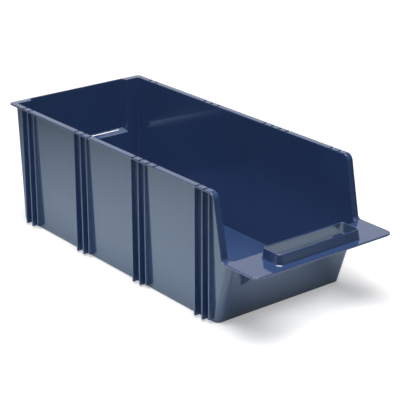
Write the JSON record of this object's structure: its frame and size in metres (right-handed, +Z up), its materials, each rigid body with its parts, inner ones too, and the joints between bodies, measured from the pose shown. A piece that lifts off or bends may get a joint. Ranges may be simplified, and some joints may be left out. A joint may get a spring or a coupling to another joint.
{
  "type": "open-front stacking storage bin",
  "caption": "Open-front plastic storage bin with stacking rim, side ribs, low front wall, shelf with a raised finger opening and a recessed hanging panel in the back wall",
  "frame": {"origin": "on the surface that the bin stands on, below the middle of its bounding box", "axes": "+X to the right as seen from the open front, +Y to the rear, +Z up; the shelf looks along -Y"},
  "size_m": [0.212, 0.5, 0.1635],
  "materials": {
    "navy_plastic": "satin gloss"
  },
  "bodies": {
    "root": {"floor_pan": "navy_plastic", "left_side_wall": "navy_plastic", "right_side_wall": "navy_plastic", "back_wall": "navy_plastic", "back_panel": "navy_plastic", "front_wall": "navy_plastic", "left_rim": "navy_plastic", "right_rim": "navy_plastic", "front_shelf": "navy_plastic", "grip_collar": "navy_plastic", "left_gusset": "navy_plastic", "right_gusset": "navy_plastic", "left_rib_1": "navy_plastic", "right_rib_1": "navy_plastic", "left_rib_2": "navy_plastic", "right_rib_2": "navy_plastic", "left_rib_3": "navy_plastic", "right_rib_3": "navy_plastic", "left_rib_4": "navy_plastic", "right_rib_4": "navy_plastic", "left_rib_5": "navy_plastic", "right_rib_5": "navy_plastic", "left_rib_6": "navy_plastic", "right_rib_6": "navy_plastic", "left_rib_7": "navy_plastic", "right_rib_7": "navy_plastic", "left_rib_8": "navy_plastic", "right_rib_8": "navy_plastic", "left_rib_9": "navy_plastic", "right_rib_9": "navy_plastic", "left_rib_10": "navy_plastic", "right_rib_10": "navy_plastic", "left_rib_11": "navy_plastic", "right_rib_11": "navy_plastic", "left_rib_12": "navy_plastic", "right_rib_12": "navy_plastic"}
  },
  "joints": []
}
